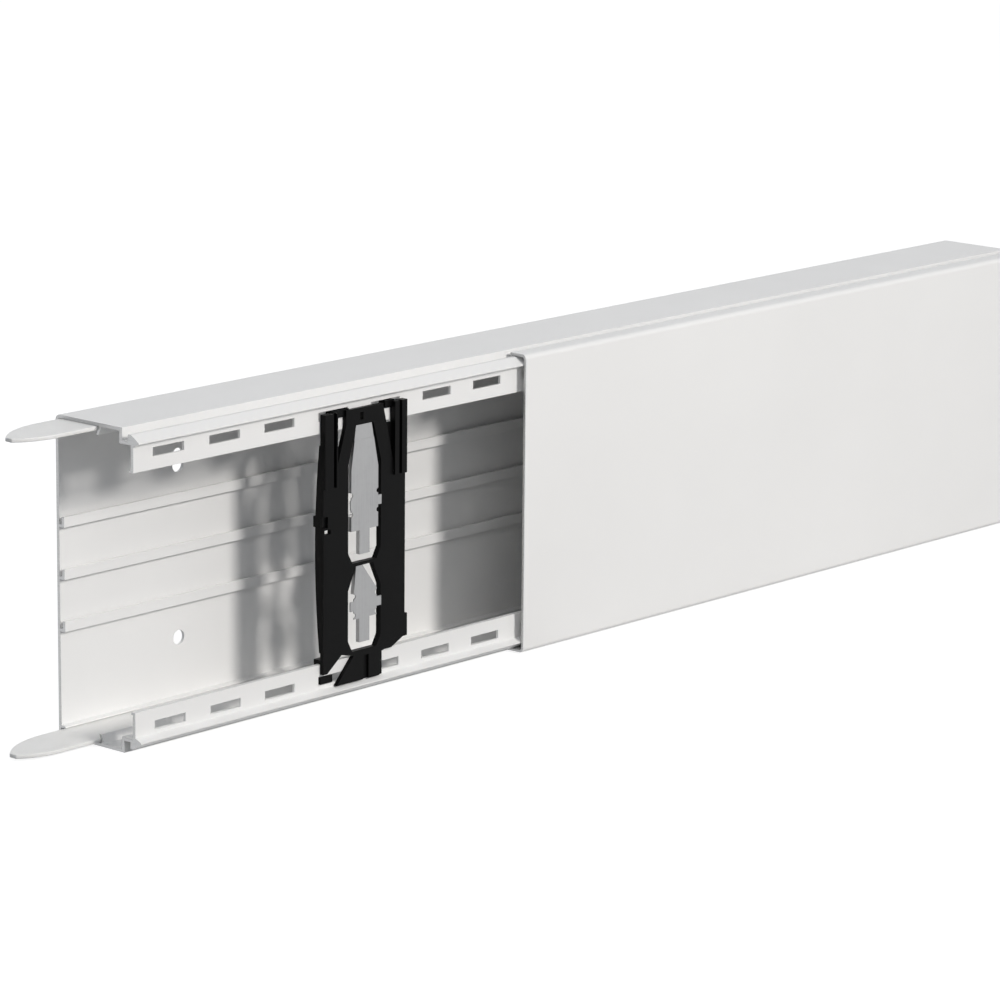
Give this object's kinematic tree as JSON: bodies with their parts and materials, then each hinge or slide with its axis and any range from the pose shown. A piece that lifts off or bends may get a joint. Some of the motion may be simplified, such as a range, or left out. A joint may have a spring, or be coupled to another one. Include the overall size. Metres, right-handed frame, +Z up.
{
  "type": "cable trunking",
  "caption": "White wall trunking: slotted channel with sliding clip-on cover, coupling tongues at one end and a black retaining clip with steel contact springs across its mouth.",
  "frame": {"origin": "centre of the part's footprint, on the underside of the bottom wall", "axes": "+X along the trunking away from the coupling tongues, +Y towards the wall it is fixed to, +Z up"},
  "size_m": [0.801, 0.063, 0.17],
  "materials": {
    "white_coat": "satin white powder coat on extruded aluminium",
    "cover_coat": "satin white powder coat on extruded aluminium",
    "natural_plastic": "natural translucent moulded plastic",
    "black_plastic": "black moulded plastic, slight sheen",
    "spring_steel": "matt bright spring steel"
  },
  "bodies": {
    "base": {"base_profile": "white_coat", "coupling_upper": "natural_plastic", "coupling_lower": "natural_plastic", "retaining_clip": "black_plastic", "contact_spring_upper": "spring_steel", "contact_spring_lower": "spring_steel"},
    "cover": {"cover_profile": "cover_coat"}
  },
  "joints": [
    {"name": "cover_slide", "type": "slide", "parent": "base", "child": "cover", "axis": [1, 0, 0], "range_m": [-0.29, 0]}
  ]
}
